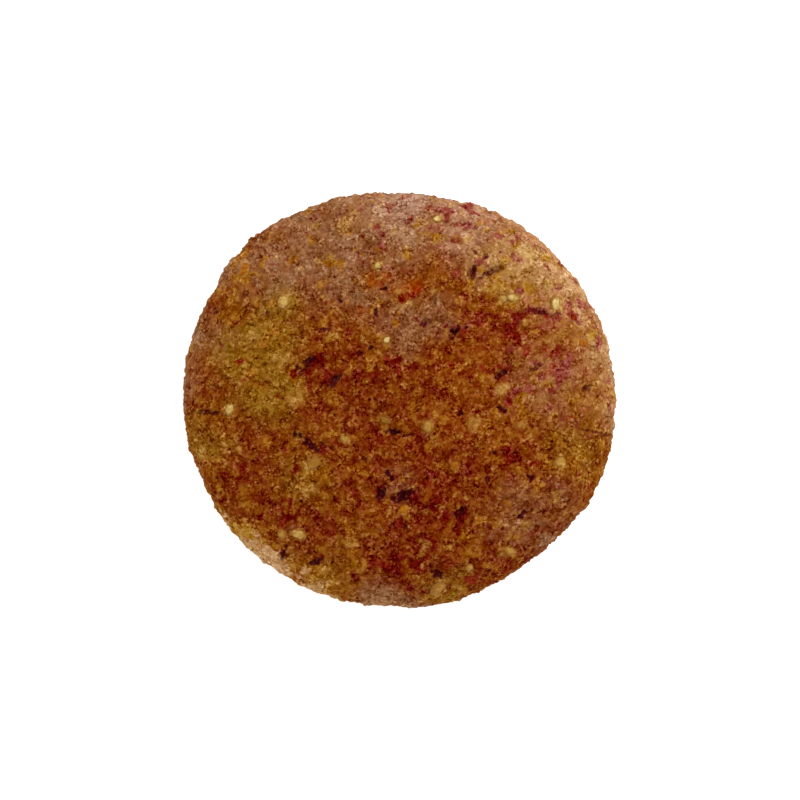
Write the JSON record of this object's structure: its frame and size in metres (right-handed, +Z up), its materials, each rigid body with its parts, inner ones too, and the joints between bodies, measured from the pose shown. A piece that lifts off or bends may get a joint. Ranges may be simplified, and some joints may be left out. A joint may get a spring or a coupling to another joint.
{
  "type": "lebkuchen",
  "caption": "Round unglazed lebkuchen: a low domed nut and spice biscuit with an uneven edge, chopped nuts set in a craggy top and a flat base to rest on.",
  "frame": {"origin": "middle of the outline's box, on the flat base", "axes": "+Z up out of the domed top, +X along the widest bearing of the outline, +Y to the far edge seen from above"},
  "size_m": [0.09, 0.0866, 0.0156],
  "materials": {
    "baked_crumb": "matt, coarse grained brown crumb of ground nuts and spice, with pale chopped nuts"
  },
  "bodies": {
    "root": {"lebkuchen": "baked_crumb"}
  },
  "joints": []
}
